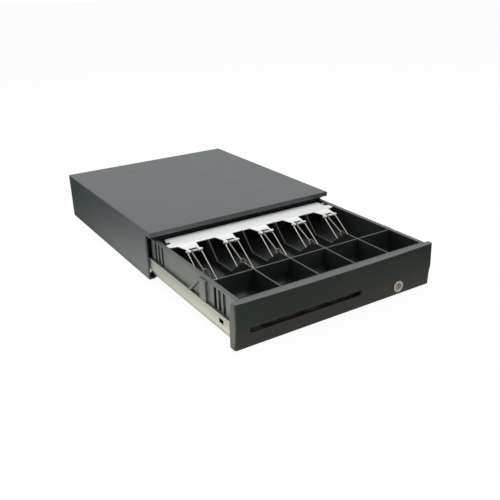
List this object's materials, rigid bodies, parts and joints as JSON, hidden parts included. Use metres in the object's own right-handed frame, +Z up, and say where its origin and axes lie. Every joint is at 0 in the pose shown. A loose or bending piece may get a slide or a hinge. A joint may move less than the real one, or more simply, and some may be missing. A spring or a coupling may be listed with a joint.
{
  "type": "cash drawer",
  "caption": "Low sheet-steel cash drawer with a roller drawer, a lift-out till of bill and coin cells with sprung wire clips, a key lock and an electric latch.",
  "frame": {"origin": "on the surface it stands on, under the middle of the box around the open drawer and its case", "axes": "+X to the right for a user facing the drawer front, -Y towards the user, +Z up; the drawer opens along -Y"},
  "size_m": [0.41, 0.7704, 0.105],
  "materials": {
    "case_paint": "satin powder coat, cool dark grey",
    "inner_zinc": "zinc-plated sheet steel, satin",
    "rail_steel": "galvanised sheet steel with rolling marks",
    "plate_steel": "bright plated sheet steel",
    "wire_steel": "bright plated spring wire",
    "arm_steel": "dull plated steel",
    "front_plastic": "fine-textured moulded ABS, greenish dark grey",
    "till_plastic": "moulded black ABS, satin",
    "roller_nylon": "natural nylon",
    "stop_rubber": "matt black rubber",
    "coil_tape": "wound coil under red-brown tape",
    "lock_nickel": "nickel-plated, satin",
    "switch_case": "black moulded switch body",
    "button_red": "red moulded",
    "spring_steel": "plated spring steel"
  },
  "bodies": {
    "case": {"case_cover": "case_paint", "base_plate": "case_paint", "rear_panel": "case_paint", "front_crossbar": "case_paint", "left_runner": "inner_zinc", "right_runner": "inner_zinc", "roller_axles": "inner_zinc", "drawer_stops": "stop_rubber", "feet": "stop_rubber", "base_screws": "inner_zinc", "rear_screws": "inner_zinc", "latch_bracket": "inner_zinc", "latch_pivot_pin": "inner_zinc", "solenoid_frame": "inner_zinc", "solenoid_coil": "coil_tape", "plunger_spring": "spring_steel", "kick_spring": "spring_steel", "spring_rod": "inner_zinc", "micro_switch": "switch_case", "cable_socket": "switch_case", "socket_lead": "stop_rubber"},
    "roller_fl": {"front_roller_left": "roller_nylon"},
    "roller_fr": {"front_roller_right": "roller_nylon"},
    "latch": {"latch_lever": "inner_zinc"},
    "plunger": {"solenoid_plunger": "lock_nickel"},
    "button": {"switch_button": "button_red"},
    "drawer": {"drawer_pan": "inner_zinc", "left_rail": "rail_steel", "right_rail": "rail_steel", "rail_rivets": "inner_zinc", "rear_axles": "inner_zinc", "striker": "inner_zinc", "fascia": "front_plastic", "fascia_screws": "inner_zinc", "lock_housing": "lock_nickel", "lock_nut": "inner_zinc"},
    "roller_rl": {"rear_roller_left": "roller_nylon"},
    "roller_rr": {"rear_roller_right": "roller_nylon"},
    "lock": {"lock_plug": "lock_nickel", "lock_cam": "inner_zinc"},
    "till": {"till_tray": "till_plastic", "till_lugs": "till_plastic", "bill_plate": "plate_steel", "plate_screws": "inner_zinc", "clip_pins": "inner_zinc", "clip_springs": "spring_steel"},
    "clip_1": {"bill_clip_1": "wire_steel", "clip_arm_1": "arm_steel"},
    "clip_2": {"bill_clip_2": "wire_steel", "clip_arm_2": "arm_steel"},
    "clip_3": {"bill_clip_3": "wire_steel", "clip_arm_3": "arm_steel"},
    "clip_4": {"bill_clip_4": "wire_steel", "clip_arm_4": "arm_steel"},
    "clip_5": {"bill_clip_5": "wire_steel", "clip_arm_5": "arm_steel"}
  },
  "joints": [
    {"name": "drawer_slide", "type": "slide", "parent": "case", "child": "drawer", "axis": [0, -1, 0], "range_m": [-0.3, 0], "deforming": ["kick_spring"]},
    {"name": "front_roller_left_turn", "type": "hinge", "parent": "case", "child": "roller_fl", "pos_m": [-0.1993, -0.0505, 0.02035], "axis": [1, 0, 0], "range_deg": [-2864.8, 0]},
    {"name": "front_roller_right_turn", "type": "hinge", "parent": "case", "child": "roller_fr", "pos_m": [0.1993, -0.0505, 0.02035], "axis": [1, 0, 0], "range_deg": [-2864.8, 0]},
    {"name": "rear_roller_left_turn", "type": "hinge", "parent": "drawer", "child": "roller_rl", "pos_m": [-0.1993, 0.0295, 0.01365], "axis": [1, 0, 0], "range_deg": [-2455.54, 0]},
    {"name": "rear_roller_right_turn", "type": "hinge", "parent": "drawer", "child": "roller_rr", "pos_m": [0.1993, 0.0295, 0.01365], "axis": [1, 0, 0], "range_deg": [-2455.54, 0]},
    {"name": "latch_turn", "type": "hinge", "parent": "case", "child": "latch", "pos_m": [0, 0.3685, 0.039], "axis": [-1, 0, 0], "range_deg": [0, 14.01], "stiffness_Nm_per_rad": 0.05, "springref_deg": -34.38},
    {"name": "plunger_slide", "type": "slide", "parent": "case", "child": "plunger", "axis": [0, 0, 1], "range_m": [0, 0.0022], "deforming": ["plunger_spring"]},
    {"name": "button_press", "type": "slide", "parent": "case", "child": "button", "axis": [0, 1, 0], "range_m": [0, 0.0015], "stiffness_N_per_m": 300, "springref_m": -0.001},
    {"name": "lock_turn", "type": "hinge", "parent": "drawer", "child": "lock", "pos_m": [0.1288, -0.3735, 0.0235], "axis": [0, 1, 0], "range_deg": [0, 90]},
    {"name": "till_tilt", "type": "hinge", "parent": "drawer", "child": "till", "pos_m": [0, -0.0625, 0.0493], "axis": [-1, 0, 0], "range_deg": [0, 12]},
    {"name": "clip_1_lift", "type": "hinge", "parent": "till", "child": "clip_1", "pos_m": [-0.1528, -0.1545, 0.0839], "axis": [-1, 0, 0], "range_deg": [0, 75], "stiffness_Nm_per_rad": 0.05, "springref_deg": -28.65},
    {"name": "clip_2_lift", "type": "hinge", "parent": "till", "child": "clip_2", "pos_m": [-0.0764, -0.1545, 0.0839], "axis": [-1, 0, 0], "range_deg": [0, 75], "stiffness_Nm_per_rad": 0.05, "springref_deg": -28.65},
    {"name": "clip_3_lift", "type": "hinge", "parent": "till", "child": "clip_3", "pos_m": [0, -0.1545, 0.0839], "axis": [-1, 0, 0], "range_deg": [0, 75], "stiffness_Nm_per_rad": 0.05, "springref_deg": -28.65},
    {"name": "clip_4_lift", "type": "hinge", "parent": "till", "child": "clip_4", "pos_m": [0.0764, -0.1545, 0.0839], "axis": [-1, 0, 0], "range_deg": [0, 75], "stiffness_Nm_per_rad": 0.05, "springref_deg": -28.65},
    {"name": "clip_5_lift", "type": "hinge", "parent": "till", "child": "clip_5", "pos_m": [0.1528, -0.1545, 0.0839], "axis": [-1, 0, 0], "range_deg": [0, 75], "stiffness_Nm_per_rad": 0.05, "springref_deg": -28.65}
  ],
  "couplings": [
    {"joint": "front_roller_left_turn", "follows": "drawer_slide", "rad_per_m": 166.67},
    {"joint": "front_roller_right_turn", "follows": "drawer_slide", "rad_per_m": 166.67},
    {"joint": "rear_roller_left_turn", "follows": "drawer_slide", "rad_per_m": 142.86},
    {"joint": "rear_roller_right_turn", "follows": "drawer_slide", "rad_per_m": 142.86},
    {"joint": "latch_turn", "follows": "plunger_slide", "rad_per_m": 111.11}
  ]
}
